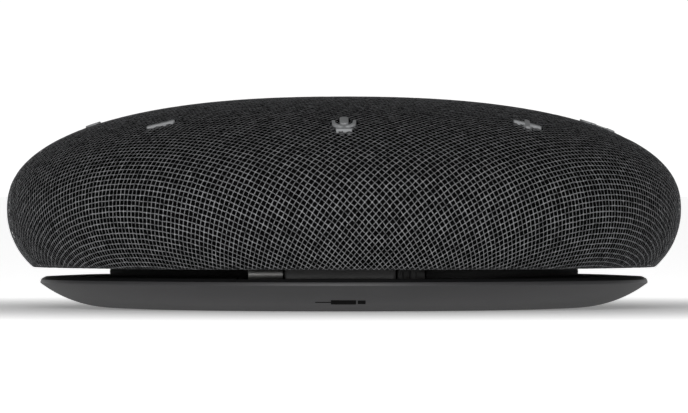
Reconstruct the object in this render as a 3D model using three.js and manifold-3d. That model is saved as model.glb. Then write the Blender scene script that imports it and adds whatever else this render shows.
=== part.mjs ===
// Round conference speaker: a cloth-covered dome on a low disc foot, with the USB lead wound in the
// groove between them. Millimetres, +Z up, the front faces -Y, the origin is the centre of the
// rubber foot's underside.
import * as THREE from 'three';
import { mergeVertices } from 'three/addons/utils/BufferGeometryUtils.js';
import Module from 'manifold-3d';

const wasm = await Module();
wasm.setup();

// ---------- driving dimensions ----------

const gap = 0.3; // running and seating clearance between neighbours
const roundSteps = 32; // facets round the large turned parts
const driverSteps = 16; // facets round the loudspeaker's parts
const smallSteps = 8; // facets round screws, posts and holes

const domeRadius = 66.5; // widest point of the cloth
const domeHeight = 41.7; // top of the cloth above the table
const domeWaistZ = 19.4; // height of the widest point
const domePower = 2.35; // squareness of the shoulder, 2 is an ellipse
const domeCurl = 15; // radius of the side below the waist
const domeRimZ = 8.1; // flat underside of the dome
const clothThick = 0.5;
const shellThick = 1.8;

const baseRadius = 60;
const baseBandZ = 5.05; // height of the base's widest line
const baseSweep = 24; // radius of the base's underside curve
const baseFloorZ = 0.1; // underside of the base shell
const baseWall = 1.5;
const baseLipTopZ = 6.23; // top plate at its edge
const baseTopZ = 6.5; // top plate beside the groove
const footRadius = 44;
const footThick = 1.1;
const footRecess = 1.3; // depth of the seat under the base shell
const baseFloorThick = 1.2;
const ballastThick = 2.3;

const neckRadius = 34.9; // the drum that the lead is wound on
const neckWall = 2;
const cableDiameter = 3.4;
const windingTurns = 3;

const plugWidth = 11;
const plugThick = 5.8;
const plugBodyFromX = -11.3;
const plugBodyToX = 9.9;
const plugTipLength = 6.65;
const plugTipWidth = 8.34;
const plugTipThick = 2.56;
const plugTipWall = 0.3;
const reliefLength = 5.2;
const reliefWidening = 1.7; // the sleeve is oval, this much wider than tall

const keyCircle = 50; // radius of the circle that the five keys stand on
const keyRadius = 5.2;
const keyTravel = 0.5;
const iconRise = 0.35; // icons stand this far above the cloth
const iconDiscRadius = 4.6;
const iconStroke = 1;

const driverFrameRadius = 28.8;
const driverDrop = 7.7; // from the top of the dome down to the driver's flange
const coneRadius = 21.1;
const coilRadius = 7.2;
const coilWall = 0.6;
const magnetRadius = 15.5;

const housingFloor = 2.4;
const boardThick = 1.2;
const boardRadius = 44;
const screwShank = 1.3;
const screwHead = 2.6;
const baseBossRadius = 4.4; // round the screws through the base shell
const boardPostRadius = 3.6; // under the main board, and in the drum below it
const chamberPostRadius = 2.8;
const shellPostRadius = 2.9;
const chamberEarRadius = 4.2;

// ---------- solids ----------

// One closed position-only geometry with its faces pointing out.
function closed(geometry) {
  const bare = new THREE.BufferGeometry();
  bare.setAttribute('position', geometry.attributes.position.clone());
  if (geometry.index) bare.setIndex(geometry.index.clone());
  const merged = mergeVertices(bare, 1e-4);
  const at = merged.attributes.position;
  const corner = [new THREE.Vector3(), new THREE.Vector3(), new THREE.Vector3()];
  const faces = [];
  let volume = 0;
  for (let i = 0; i < merged.index.count; i += 3) {
    const ids = [0, 1, 2].map((k) => merged.index.getX(i + k));
    if (new Set(ids).size < 3) continue;
    ids.forEach((id, k) => corner[k].fromBufferAttribute(at, id));
    volume += corner[0].dot(corner[1].clone().cross(corner[2]));
    faces.push(ids);
  }
  if (volume < 0) faces.forEach((ids) => ids.reverse());
  merged.setIndex(faces.flat());
  return merged;
}

function solid(geometry) {
  const whole = closed(geometry);
  return new wasm.Manifold(new wasm.Mesh({
    numProp: 3,
    vertProperties: new Float32Array(whole.attributes.position.array),
    triVerts: new Uint32Array(whole.index.array),
  }));
}

function geometryOf(body) {
  const mesh = body.getMesh();
  const geometry = new THREE.BufferGeometry();
  const count = mesh.vertProperties.length / mesh.numProp;
  const positions = new Float32Array(count * 3);
  for (let i = 0; i < count; i++) {
    for (let k = 0; k < 3; k++) positions[i * 3 + k] = mesh.vertProperties[i * mesh.numProp + k];
  }
  geometry.setAttribute('position', new THREE.BufferAttribute(positions, 3));
  geometry.setIndex(Array.from(mesh.triVerts));
  return geometry;
}

const join = (...bodies) => bodies.reduce((all, next) => all.add(next));
const cut = (body, ...tools) => tools.reduce((left, tool) => left.subtract(tool), body);

// Points as [radius, height], turned about Z.
function turned(points, steps = roundSteps) {
  const profile = points.map(([r, z]) => new THREE.Vector2(r, z));
  return solid(new THREE.LatheGeometry(profile, steps).rotateX(Math.PI / 2));
}

function ring(inner, outer, fromZ, toZ, steps = roundSteps) {
  return turned([[inner, fromZ], [outer, fromZ], [outer, toZ], [inner, toZ], [inner, fromZ]], steps);
}

function post(x, y, radius, fromZ, toZ, steps = smallSteps) {
  const cylinder = new THREE.CylinderGeometry(radius, radius, toZ - fromZ, steps);
  return solid(cylinder.rotateX(Math.PI / 2).translate(x, y, (fromZ + toZ) / 2));
}

function block(fromX, toX, fromY, toY, fromZ, toZ) {
  const box = new THREE.BoxGeometry(toX - fromX, toY - fromY, toZ - fromZ);
  return solid(box.translate((fromX + toX) / 2, (fromY + toY) / 2, (fromZ + toZ) / 2));
}

const around = (radius, degrees) => [
  radius * Math.cos(THREE.MathUtils.degToRad(degrees)),
  radius * Math.sin(THREE.MathUtils.degToRad(degrees)),
];

// ---------- the dome's surface ----------

// Outline of the dome at a distance inside the cloth, from the axis down to a height.
function domeOutline(inset, downToZ, upperSteps = 7, lowerSteps = 2) {
  const points = [];
  const radius = domeRadius - inset;
  const rise = domeHeight - domeWaistZ - inset;
  for (let i = 0; i <= upperSteps; i++) {
    const turn = (1 - i / upperSteps) * Math.PI / 2;
    const r = i === 0 ? 0 : radius * Math.cos(turn) ** (2 / domePower);
    const z = i === upperSteps ? 0 : rise * Math.sin(turn) ** (2 / domePower);
    points.push([r, domeWaistZ + z]);
  }
  const curl = domeCurl - inset;
  const last = Math.asin((domeWaistZ - downToZ) / curl);
  for (let i = 1; i <= lowerSteps; i++) {
    const turn = last * i / lowerSteps;
    points.push([domeRadius - domeCurl + curl * Math.cos(turn), domeWaistZ - curl * Math.sin(turn)]);
  }
  return points;
}

// The full space inside the cloth at a distance, above a height.
function domeFilled(inset, fromZ = domeWaistZ) {
  const upper = domeOutline(inset, domeRimZ).filter(([, z]) => z >= fromZ - 1e-9);
  return turned([[0, fromZ], ...upper.reverse()]);
}

const shellInset = clothThick + gap;
const shellInner = shellInset + shellThick;

// Height of the dome at a radius, at a distance inside the cloth.
function domeZ(radius, inset) {
  const share = 1 - (radius / (domeRadius - inset)) ** domePower;
  return domeWaistZ + (domeHeight - domeWaistZ - inset) * share ** (1 / domePower);
}

// ---------- the wound lead ----------

// A route through fixed points, so that neighbouring turns have their facets side by side.
class Route extends THREE.Curve {
  constructor(points) {
    super();
    this.points = points;
  }

  getPoint(t, target = new THREE.Vector3()) {
    const place = t * (this.points.length - 1);
    const from = Math.min(Math.floor(place), this.points.length - 2);
    return target.copy(this.points[from]).lerp(this.points[from + 1], place - from);
  }

  getTangent(t, target = new THREE.Vector3()) {
    const at = Math.round(t * (this.points.length - 1));
    const before = this.points[Math.max(at - 1, 0)];
    const after = this.points[Math.min(at + 1, this.points.length - 1)];
    return target.copy(after).sub(before).normalize();
  }

  getPointAt(u, target) {
    return this.getPoint(u, target);
  }

  getTangentAt(u, target) {
    return this.getTangent(u, target);
  }
}

function along(points, section) {
  const route = new Route(points);
  return solid(new THREE.ExtrudeGeometry(section, {
    steps: points.length - 1, curveSegments: 4, extrudePath: route,
  }));
}

function disc(radius) {
  return new THREE.Shape().absarc(0, 0, radius, 0, Math.PI * 2);
}

// A section as [low, high] across the route, which lies flat, and [left, right] beside it.
function slab(height, width) {
  const shape = new THREE.Shape();
  shape.moveTo(-height / 2, -width / 2).lineTo(height / 2, -width / 2);
  shape.lineTo(height / 2, width / 2).lineTo(-height / 2, width / 2).closePath();
  return shape;
}

const shellFloorTop = baseFloorZ + footRecess + baseFloorThick; // inner floor of the base shell
const neckFromZ = shellFloorTop + gap;
const cableZ = neckFromZ + ballastThick + gap + cableDiameter / 2; // the lead clears the ballast
const flat = (x, y) => new THREE.Vector3(x, y, cableZ);
const innerTurn = neckRadius + cableDiameter / 2 + gap * 1.8;
const turnPitch = cableDiameter + gap; // from one turn of the lead to the next
const outerTurn = innerTurn + turnPitch * (windingTurns - 1);
const grooveRadius = outerTurn + cableDiameter / 2 + gap * 1.3; // outer side of the groove
// The parked plug lies along X, in front of all but the outer turn.
const plugY = -(outerTurn - turnPitch + cableDiameter / 2 + gap * 1.5 + plugWidth / 2);
const stepAngle = 15;
const leadEnds = -30; // angle at which the lead joins the winding
const crossFrom = 190; // angles between which each turn steps in to the next
const crossTo = 240;
const windingEnds = 165 + 360 * (windingTurns - 1);
const reliefEnd = plugBodyToX + gap + reliefLength;

function sCurve(t) {
  const held = THREE.MathUtils.clamp(t, 0, 1);
  return held * held * (3 - 2 * held);
}

function turnRadius(angle) {
  let radius = outerTurn;
  for (let turn = 0; turn < windingTurns - 1; turn++) {
    radius -= turnPitch * sCurve((angle - 360 * turn - crossFrom) / (crossTo - crossFrom));
  }
  return radius;
}

function bend(from, fromHandle, toHandle, to, steps) {
  return new THREE.CubicBezierCurve3(from, fromHandle, toHandle, to).getSpacedPoints(steps);
}

const socketFaceX = -9;
const [joinX, joinY] = around(outerTurn, leadEnds);
const [joinDirX, joinDirY] = around(12, leadEnds + 90);
const straightEnd = reliefEnd + gap + 3;
const plugLead = [flat(reliefEnd + gap, plugY), ...bend(
  flat(straightEnd, plugY), flat(straightEnd + 11, plugY),
  flat(joinX - joinDirX, joinY - joinDirY), flat(joinX, joinY), 4,
)];
const windingPoints = [];
for (let angle = leadEnds + stepAngle; angle < windingEnds; angle += stepAngle) {
  windingPoints.push(flat(...around(turnRadius(angle), angle)));
}
const [gateX, gateY] = around(innerTurn, windingEnds);
const [gateDirX, gateDirY] = around(17, windingEnds + 90);
const gateLead = bend(
  flat(gateX, gateY), flat(gateX + gateDirX, gateY + gateDirY),
  flat(socketFaceX - gap - 14, 0), flat(socketFaceX - gap, 0), 7,
);
const cableRoute = [...plugLead, ...windingPoints, ...gateLead];
const gateRoute = gateLead.slice(1, 6);
const gateWidth = 6.2;
const gateFromZ = cableZ - cableDiameter / 2 - 1.3;

// ---------- shared heights and places ----------

const chamberRadius = driverFrameRadius + 0.2;
const chamberWall = 1.6;
const driverFlangeZ = domeHeight - driverDrop;

const grooveFloorZ = cableZ - cableDiameter / 2 - gap;
const grooveRoofZ = cableZ + cableDiameter / 2 + gap + 0.05;
const housingTopZ = domeRimZ + housingFloor;
const neckToZ = grooveRoofZ - gap;
const mainBoardZ = housingTopZ + 1.8;
const chamberFloorZ = mainBoardZ + boardThick + 1.5;
const keyFlangeThick = 1;
const keyFlangeZ = domeZ(keyCircle + keyRadius + 1.2, shellInner) - keyFlangeThick - 0.4;
const sleeveFromZ = keyFlangeZ + keyFlangeThick + gap;
const buttonBoardZ = keyFlangeZ - 4.8;

const baseScrewPlaces = [45, 135, 225, 315].map((a) => around(neckRadius - 7.4, a));
// The shell's screw posts also pass through the button board and hold it.
const shellScrewPlaces = [67.5, 157.5, 247.5, 337.5].map((a) => around(keyCircle + 2.5, a));
const chamberScrewPlaces = [90, 210, 330].map((a) => around(chamberRadius + 4, a));

const pocketFromX = plugBodyFromX - plugTipLength - 2.6;
const pocketToX = reliefEnd + gap;
const pocketFromY = plugY - plugWidth / 2 - 1.2;
const pocketToY = plugY + plugWidth / 2 + 0.4;
const pocketRoofZ = cableZ + plugThick / 2 + gap;

// ---------- base ----------

const sweepCentre = footRadius + 1.4; // the underside curve is lowest at this radius

function baseCurve(wall, fromRadius, toRadius, steps) {
  const centreZ = baseFloorZ + baseSweep;
  const points = [];
  for (let i = 0; i <= steps; i++) {
    const r = fromRadius + (toRadius - fromRadius) * i / steps;
    points.push([r, centreZ - Math.sqrt((baseSweep - wall) ** 2 - (r - sweepCentre) ** 2)]);
  }
  return points;
}

function makeFoot() {
  return turned([[0, 0], [footRadius - 0.4, 0], [footRadius, 0.4], [footRadius, footThick], [0, footThick]]);
}

function makeBaseShell() {
  const seat = footRadius + gap;
  const lipZ = baseLipTopZ - 0.73;
  const bowl = turned([
    [0, baseFloorZ + footRecess], [seat, baseFloorZ + footRecess], [seat, baseFloorZ],
    ...baseCurve(0, sweepCentre, baseRadius, 5),
    [baseRadius - 0.1, lipZ], [baseRadius - 2.1, lipZ],
    ...baseCurve(baseWall, footRadius + 8.4, baseRadius - 2.5, 3).reverse(),
    [footRadius + 7.6, shellFloorTop], [0, shellFloorTop],
  ]);
  const bosses = baseScrewPlaces.map(([x, y]) => (
    post(x, y, baseBossRadius, shellFloorTop - 0.2, shellFloorTop + 1.9)));
  const seats = baseScrewPlaces.map(([x, y]) => post(x, y, screwHead + gap, 0, shellFloorTop + 0.4));
  const holes = baseScrewPlaces.map(([x, y]) => post(x, y, screwShank + gap, 0, 9));
  return cut(join(bowl, ...bosses), ...seats, ...holes);
}

function makeBallast() {
  const plate = turned([
    [0, neckFromZ], [neckRadius - neckWall - 0.4, neckFromZ],
    [neckRadius - neckWall - 0.4, neckFromZ + ballastThick], [0, neckFromZ + ballastThick],
  ]);
  return cut(plate, ...baseScrewPlaces.map(([x, y]) => post(x, y, baseBossRadius + gap, 0, 9)));
}

// Room for the lead between the plug and the winding, with one step of the winding.
const leadSpace = along([...plugLead, windingPoints[0]], disc(cableDiameter / 2 + gap));

function plugPocket(fromZ, toZ) {
  return block(pocketFromX, pocketToX, pocketFromY, pocketToY, fromZ, toZ);
}

function makeBaseTop() {
  const grooveWall = grooveRadius + 0.5;
  const plateEdge = baseRadius - 0.3;
  const plate = turned([
    [neckRadius + 0.4, grooveFloorZ - 1.2], [grooveRadius - 0.5, grooveFloorZ - 1.2],
    [grooveWall + 0.8, 4.9], [plateEdge - 4.1, 4.9], [plateEdge - 3.5, baseLipTopZ - 0.43],
    [plateEdge, baseLipTopZ - 0.43], [plateEdge - 0.8, baseLipTopZ],
    [plateEdge - 6, baseTopZ - 0.04], [grooveWall, baseTopZ], [grooveRadius, baseTopZ - 0.4],
    [grooveRadius, grooveFloorZ], [neckRadius + 0.4, grooveFloorZ],
    [neckRadius + 0.4, grooveFloorZ - 1.2],
  ]);
  return cut(plate, plugPocket(0, 9), leadSpace);
}

function makeNeck() {
  const bossFromZ = shellFloorTop + 2.2;
  const ribFromZ = neckFromZ + ballastThick + gap;
  const drum = ring(neckRadius - neckWall, neckRadius, neckFromZ, neckToZ);
  const bosses = baseScrewPlaces.map(([x, y]) => post(x, y, boardPostRadius, bossFromZ, neckToZ));
  const ribs = [45, 135, 225, 315].map((angle) => {
    const rib = new THREE.BoxGeometry(7, 2.4, neckToZ - ribFromZ);
    rib.translate(neckRadius - 4.5, 0, (neckToZ + ribFromZ) / 2);
    return solid(rib.rotateZ(THREE.MathUtils.degToRad(angle)));
  });
  const holes = baseScrewPlaces.map(([x, y]) => post(x, y, screwShank + gap, 0, 12));
  return cut(join(drum, ...bosses, ...ribs), ...holes, gateSlab(gateFromZ, neckToZ + 4, gateWidth));
}

// Everything within a width of the lead where it passes through the drum's wall.
function gateSlab(fromZ, toZ, width) {
  return along(gateRoute.map((p) => p.clone().setZ((fromZ + toZ) / 2)), slab(toZ - fromZ, width));
}

// A rubber saddle in the wall's notch, open at the top, where the housing closes it.
function makeGrommet() {
  const wall = ring(neckRadius - neckWall, neckRadius, 0, 20);
  const saddle = gateSlab(gateFromZ + gap, neckToZ - 0.05, gateWidth - 2 * gap).intersect(wall);
  const bore = cableDiameter / 2 + gap / 2;
  return cut(saddle, along(gateLead, disc(bore)), gateSlab(cableZ, 12, 2 * bore));
}

function makeScrew(place, headFromZ, headThick, tipZ) {
  const [x, y] = place;
  const head = post(x, y, screwHead, headFromZ, headFromZ + headThick);
  const shank = post(x, y, screwShank, headFromZ + headThick / 2, tipZ);
  const drive = new THREE.CylinderGeometry(1.1, 1.1, 1.2, 6).rotateX(Math.PI / 2).translate(x, y, headFromZ);
  return cut(join(head, shank), solid(drive));
}

// ---------- lead and plug ----------

const makeCable = () => along(cableRoute, disc(cableDiameter / 2));

// A round-sided bar along X, centred on the plug's axis.
function plugBar(width, thick, fromX, toX, round = thick / 2, bevel = 0) {
  const w = width / 2 - bevel;
  const t = thick / 2 - bevel;
  const r = Math.min(round, t - 0.001);
  const shape = new THREE.Shape();
  shape.absarc(w - r, t - r, r, 0, Math.PI / 2);
  shape.absarc(-w + r, t - r, r, Math.PI / 2, Math.PI);
  shape.absarc(-w + r, -t + r, r, Math.PI, Math.PI * 1.5);
  shape.absarc(w - r, -t + r, r, Math.PI * 1.5, Math.PI * 2);
  const bar = new THREE.ExtrudeGeometry(shape, {
    depth: toX - fromX - 2 * bevel, curveSegments: 2, bevelEnabled: bevel > 0,
    bevelThickness: bevel, bevelSize: bevel, bevelSegments: 2,
  });
  bar.rotateZ(Math.PI / 2).rotateY(Math.PI / 2).translate(fromX + bevel, plugY, cableZ);
  return solid(bar);
}

function makePlugBody() {
  return plugBar(plugWidth, plugThick, plugBodyFromX, plugBodyToX, 2.4, 0.6);
}

function makePlugTip() {
  const toX = plugBodyFromX - gap;
  const outer = plugBar(plugTipWidth, plugTipThick, toX - plugTipLength, toX);
  const inside = plugBar(
    plugTipWidth - 2 * plugTipWall, plugTipThick - 2 * plugTipWall, toX - plugTipLength - 1, toX - 0.6,
  );
  return cut(outer, inside);
}

function makePlugInsert() {
  const toX = plugBodyFromX - 2 * gap - 0.6;
  const thick = plugTipThick - 2 * plugTipWall - 2 * gap;
  const bar = plugBar(plugTipWidth - 2 * plugTipWall - 2 * gap, thick, toX - 4.6, toX);
  return cut(bar, block(toX - 6, toX - 1, plugY - 3.1, plugY + 3.1, cableZ - 0.3, cableZ + 0.3));
}

function makeRelief() {
  const fromX = plugBodyToX + gap;
  const sleeve = new THREE.LatheGeometry([
    [0, 0], [2.6, 0], [2.6, 0.8], [2.2, 1.2], [2.2, 2.2], [2.5, 2.6], [2.4, 3.4], [2, 3.8],
    [2, reliefLength], [0, reliefLength],
  ].map(([r, x]) => new THREE.Vector2(r, x)), smallSteps);
  return solid(sleeve.rotateZ(-Math.PI / 2).scale(1, reliefWidening, 1).translate(fromX, plugY, cableZ));
}

// ---------- dome housing ----------

function makeHousing() {
  const rim = domeRadius - 7.3;
  const floor = turned([
    [13, grooveRoofZ], [grooveRadius + 0.3, grooveRoofZ], [grooveRadius + 0.65, domeRimZ],
    [rim, domeRimZ], [rim, domeRimZ + 0.5], [rim - 1.5, domeRimZ + 0.5], [rim - 1.5, housingTopZ],
    [13, housingTopZ], [13, grooveRoofZ],
  ]);
  const hump = block(
    pocketFromX - 1.4, pocketToX + 1.4, pocketFromY - 1.2, pocketToY + 1.4,
    grooveRoofZ, pocketRoofZ + 1.4,
  ).intersect(turned([[0, 0], [rim - 1.6, 0], [rim - 1.6, 30], [0, 30]]));
  const boardPosts = baseScrewPlaces.map(([x, y]) => (
    post(x, y, boardPostRadius, housingTopZ - 0.2, mainBoardZ - gap)));
  const shellSeats = shellScrewPlaces.map(([x, y]) => post(x, y, 4.2, housingTopZ - 0.2, housingTopZ + 1.5));
  const chamberPosts = chamberScrewPlaces.map(([x, y]) => (
    post(x, y, chamberPostRadius, housingTopZ - 0.2, chamberFloorZ - gap)));
  return cut(
    join(floor, hump, ...boardPosts, ...shellSeats, ...chamberPosts),
    plugPocket(0, pocketRoofZ),
    leadSpace,
    ...baseScrewPlaces.map(([x, y]) => post(x, y, screwShank + gap, 0, 30)),
    ...shellScrewPlaces.map(([x, y]) => post(x, y, screwShank + gap, 0, 30)),
    ...shellScrewPlaces.map(([x, y]) => post(x, y, screwHead + gap, 0, housingTopZ)),
    ...chamberScrewPlaces.map(([x, y]) => post(x, y, screwShank + gap, housingTopZ + 0.8, 30)),
  );
}

const keySteps = 12;
const keyAngles = { call: 180, quieter: 225, mute: 270, louder: 315, talk: 0 };
const keyPlaces = Object.fromEntries(
  Object.entries(keyAngles).map(([name, angle]) => [name, around(keyCircle, angle)]),
);

function makeGrilleShell() {
  const bottomZ = domeRimZ + 0.8;
  const outside = domeOutline(shellInset, bottomZ);
  const inside = domeOutline(shellInner, bottomZ);
  const dome = turned([...outside, ...inside.reverse()]);
  const within = domeFilled(shellInset + 0.4, 10);
  const sleeves = Object.values(keyPlaces).map(([x, y]) => (
    post(x, y, keyRadius + gap + 1.4, sleeveFromZ, domeHeight, keySteps).intersect(within)));
  const screwPosts = shellScrewPlaces.map(([x, y]) => (
    post(x, y, shellPostRadius, housingTopZ + 1.5 + gap, domeHeight).intersect(within)));
  const soundHoles = [post(0, 0, 1.8, 20, 60, 6)];
  for (const [count, radius] of [[6, 9], [6, 17]]) {
    for (let i = 0; i < count; i++) {
      soundHoles.push(post(...around(radius, 360 * i / count), 1.8, 20, 60, 6));
    }
  }
  return cut(
    join(dome, ...sleeves, ...screwPosts),
    ...Object.values(keyPlaces).map(([x, y]) => post(x, y, keyRadius + gap, 20, 60, keySteps)),
    ...shellScrewPlaces.map(([x, y]) => post(x, y, screwShank + gap, 5, 20)),
    ...soundHoles,
  );
}

// ---------- icons and keys ----------

// A round-ended stroke standing upright, through the cloth.
function stroke(x0, y0, x1, y1, width) {
  const length = Math.hypot(x1 - x0, y1 - y0);
  const r = width / 2;
  const shape = new THREE.Shape();
  shape.absarc(length, 0, r, -Math.PI / 2, Math.PI / 2);
  shape.absarc(0, 0, r, Math.PI / 2, Math.PI * 1.5);
  const bar = new THREE.ExtrudeGeometry(shape, { depth: 30, curveSegments: 2, bevelEnabled: false });
  return solid(bar.rotateZ(Math.atan2(y1 - y0, x1 - x0)).translate(x0, y0, 20));
}

function bentStroke(x, y, radius, fromAngle, toAngle, width, pieces) {
  const strokes = [];
  for (let i = 0; i < pieces; i++) {
    const a = around(radius, fromAngle + (toAngle - fromAngle) * i / pieces);
    const b = around(radius, fromAngle + (toAngle - fromAngle) * (i + 1) / pieces);
    strokes.push(stroke(x + a[0], y + a[1], x + b[0], y + b[1], width));
  }
  return join(...strokes);
}

// Each outline is drawn about the key's centre, widened all round by a margin.
const iconOutlines = {
  mute: (m) => join(
    stroke(0, 0.3, 0, 2.6, 1.7 + 2 * m),
    stroke(-2, 0.3, -2, 1.1, 0.62 + 2 * m),
    stroke(2, 0.3, 2, 1.1, 0.62 + 2 * m),
    bentStroke(0, 0.3, 2, 180, 360, 0.62 + 2 * m, 4),
    stroke(0, -1.7, 0, -3.1, 0.62 + 2 * m),
    stroke(-1.25, -3.2, 1.25, -3.2, 0.62 + 2 * m),
  ),
  quieter: (m) => stroke(-2.2, 0, 2.2, 0, iconStroke + 2 * m),
  louder: (m) => join(
    stroke(-2.2, 0, 2.2, 0, iconStroke + 2 * m),
    stroke(0, -2.2, 0, 2.2, iconStroke + 2 * m),
  ),
  call: (m) => join(
    bentStroke(3.2, 0, 3.7, 140, 220, iconStroke + 2 * m, 3),
    stroke(0.5, 2.4, 1.1, 2.9, 1.6 + 2 * m),
    stroke(0.5, -2.4, 1.1, -2.9, 1.6 + 2 * m),
  ),
  talk: (m) => join(
    stroke(-2.2, 2.1, 2.2, 2.1, 0.8 + 2 * m),
    stroke(-2.2, -1.3, -0.6, -1.3, 0.8 + 2 * m),
    stroke(-3, 1.3, -3, -0.5, 0.8 + 2 * m),
    stroke(3, 1.3, 3, -0.5, 0.8 + 2 * m),
    bentStroke(-2.2, 1.3, 0.8, 90, 180, 0.8 + 2 * m, 2),
    bentStroke(2.2, 1.3, 0.8, 0, 90, 0.8 + 2 * m, 2),
    bentStroke(-2.2, -0.5, 0.8, 180, 270, 0.8 + 2 * m, 2),
    bentStroke(2.2, -0.5, 0.8, 270, 360, 0.8 + 2 * m, 2),
    stroke(-0.6, -1.3, -0.9, -2.7, 0.8 + 2 * m),
  ),
};

const iconDiscTop = clothThick + gap + 0.2;
const iconDiscThick = 0.7;
const overKeys = domeFilled(-iconRise);
const underDiscTop = domeFilled(iconDiscTop);
const underDisc = domeFilled(iconDiscTop + iconDiscThick);
const underKeyTop = domeFilled(iconDiscTop + iconDiscThick + gap);

function makeIcon(name) {
  const [x, y] = keyPlaces[name];
  const base = post(x, y, iconDiscRadius, 20, 60, keySteps).intersect(underDiscTop);
  const marks = iconOutlines[name](0).translate([x, y, 0]).intersect(overKeys);
  return cut(join(base, marks), underDisc);
}

function makeKey(name) {
  const [x, y] = keyPlaces[name];
  const cap = post(x, y, keyRadius, keyFlangeZ, 60, keySteps).intersect(underKeyTop);
  const flange = post(x, y, keyRadius + gap + 0.9, keyFlangeZ, keyFlangeZ + keyFlangeThick, keySteps);
  const plunger = post(x, y, 1.4, keyFlangeZ - 0.9, keyFlangeZ + 0.5);
  return join(cap, flange, plunger);
}

function makeCloth() {
  const outside = domeOutline(0, domeRimZ);
  const inside = domeOutline(clothThick, domeRimZ + clothThick);
  const hem = domeRadius - 6.9;
  const skin = turned([
    ...outside, [hem, domeRimZ], [hem, domeRimZ + clothThick], ...inside.reverse(),
  ]);
  const openings = Object.keys(keyPlaces).map((name) => {
    const [x, y] = keyPlaces[name];
    return iconOutlines[name](gap).translate([x, y, 0]);
  });
  return cut(skin, ...openings);
}

// ---------- boards ----------

function makeMainBoard() {
  const board = turned([
    [0, mainBoardZ], [boardRadius, mainBoardZ], [boardRadius, mainBoardZ + boardThick],
    [0, mainBoardZ + boardThick],
  ]);
  return cut(board,
    ...chamberScrewPlaces.map(([x, y]) => post(x, y, chamberPostRadius + gap, 0, 30)),
    block(pocketFromX - 2, pocketToX + 2, -60, pocketToY + 2.2, 0, 30));
}

function makeChip(x, y, side, tall) {
  const fromZ = mainBoardZ + boardThick + gap;
  return block(x - side / 2, x + side / 2, y - side / 2, y + side / 2, fromZ, fromZ + tall);
}

function makeSocket() {
  const shell = block(socketFaceX, socketFaceX + 10, -4, 4, cableZ - 1.4, mainBoardZ - gap);
  return cut(shell, block(socketFaceX + 7, socketFaceX + 12, -3, 3, cableZ, cableZ + 2.6));
}

function makeButtonBoard() {
  const inner = keyCircle - 5.6;
  const outer = keyCircle + 7.4;
  const half = new THREE.Shape();
  const [from, to] = [-191, 11].map(THREE.MathUtils.degToRad);
  half.absarc(0, 0, outer, from, to, false);
  half.absarc(0, 0, inner, to, from, true);
  const board = new THREE.ExtrudeGeometry(half, {
    depth: boardThick, curveSegments: 12, bevelEnabled: false,
  });
  board.translate(0, 0, buttonBoardZ);
  return cut(solid(board), ...shellScrewPlaces.map(([x, y]) => post(x, y, shellPostRadius + gap, 0, 40)));
}

function makeSwitch(name) {
  const [x, y] = keyPlaces[name];
  const fromZ = buttonBoardZ + boardThick + gap;
  const body = block(x - 2.6, x + 2.6, y - 2.6, y + 2.6, fromZ, fromZ + 1.5);
  return join(body, post(x, y, 1.5, fromZ + 1, keyFlangeZ - 0.9 - keyTravel - 0.1));
}

// ---------- loudspeaker ----------

const gasketZ = driverFlangeZ - 0.8;

function makeChamber() {
  const rimZ = gasketZ - gap;
  const cup = turned([
    [0, chamberFloorZ], [chamberRadius, chamberFloorZ], [chamberRadius, rimZ],
    [chamberRadius - chamberWall, rimZ], [chamberRadius - chamberWall, chamberFloorZ + chamberWall],
    [0, chamberFloorZ + chamberWall],
  ]);
  const inside = post(0, 0, chamberRadius - chamberWall, chamberFloorZ + chamberWall, 40, roundSteps);
  const earTopZ = chamberFloorZ + 1.8;
  const ears = chamberScrewPlaces.map(([x, y]) => post(x, y, chamberEarRadius, chamberFloorZ, earTopZ));
  const webs = chamberScrewPlaces.map(([x, y]) => (
    post(x * 0.9, y * 0.9, chamberEarRadius, chamberFloorZ, earTopZ)));
  const holes = chamberScrewPlaces.map(([x, y]) => post(x, y, screwShank + gap, 0, 60));
  const heads = chamberScrewPlaces.map(([x, y]) => (
    post(x, y, screwHead + gap, earTopZ, 60)));
  return cut(join(cup, ...ears, ...webs.map((web) => cut(web, inside))), ...holes, ...heads);
}

function makeGasket() {
  return ring(driverFrameRadius - 2.6, driverFrameRadius - 0.1, gasketZ, gasketZ + 0.5);
}

function makeBasket() {
  const flangeTop = driverFlangeZ + 1;
  const seatZ = driverFlangeZ - 10;
  const frame = turned([
    [driverFrameRadius - 2.6, driverFlangeZ], [magnetRadius + 1, seatZ], [9.5, seatZ],
    [9.5, seatZ + 1.2], [magnetRadius + 0.2, seatZ + 1.2], [coneRadius + 3.5, driverFlangeZ + 0.4],
    [coneRadius + 3.5, flangeTop], [driverFrameRadius, flangeTop], [driverFrameRadius, driverFlangeZ],
    [driverFrameRadius - 2.6, driverFlangeZ],
  ]);
  const windows = [0, 60, 120].map((angle) => {
    const bar = new THREE.BoxGeometry(80, 12, 5.6).translate(0, 0, driverFlangeZ - 4.4);
    return solid(bar.rotateZ(THREE.MathUtils.degToRad(angle)));
  });
  return cut(frame, ...windows);
}

// Heights below are measured down from the driver's flange.
const drop = (depth) => driverFlangeZ - depth;
const makeMagnet = () => ring(9.5, magnetRadius, drop(15.3), drop(12.7), driverSteps);
const makeTopPlate = () => ring(coilRadius + 0.4, magnetRadius - 0.5, drop(12.4), drop(10.3), driverSteps);
const makeCoil = () => ring(coilRadius - coilWall, coilRadius, drop(14), drop(3.9), driverSteps);

function makeYoke() {
  const pole = coilRadius - coilWall - 0.4;
  return turned([[0, drop(17.1)], [magnetRadius - 1, drop(17.1)], [magnetRadius - 1, drop(15.6)],
    [pole, drop(15.6)], [pole, drop(10.3)], [0, drop(10.3)]], driverSteps);
}

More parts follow.
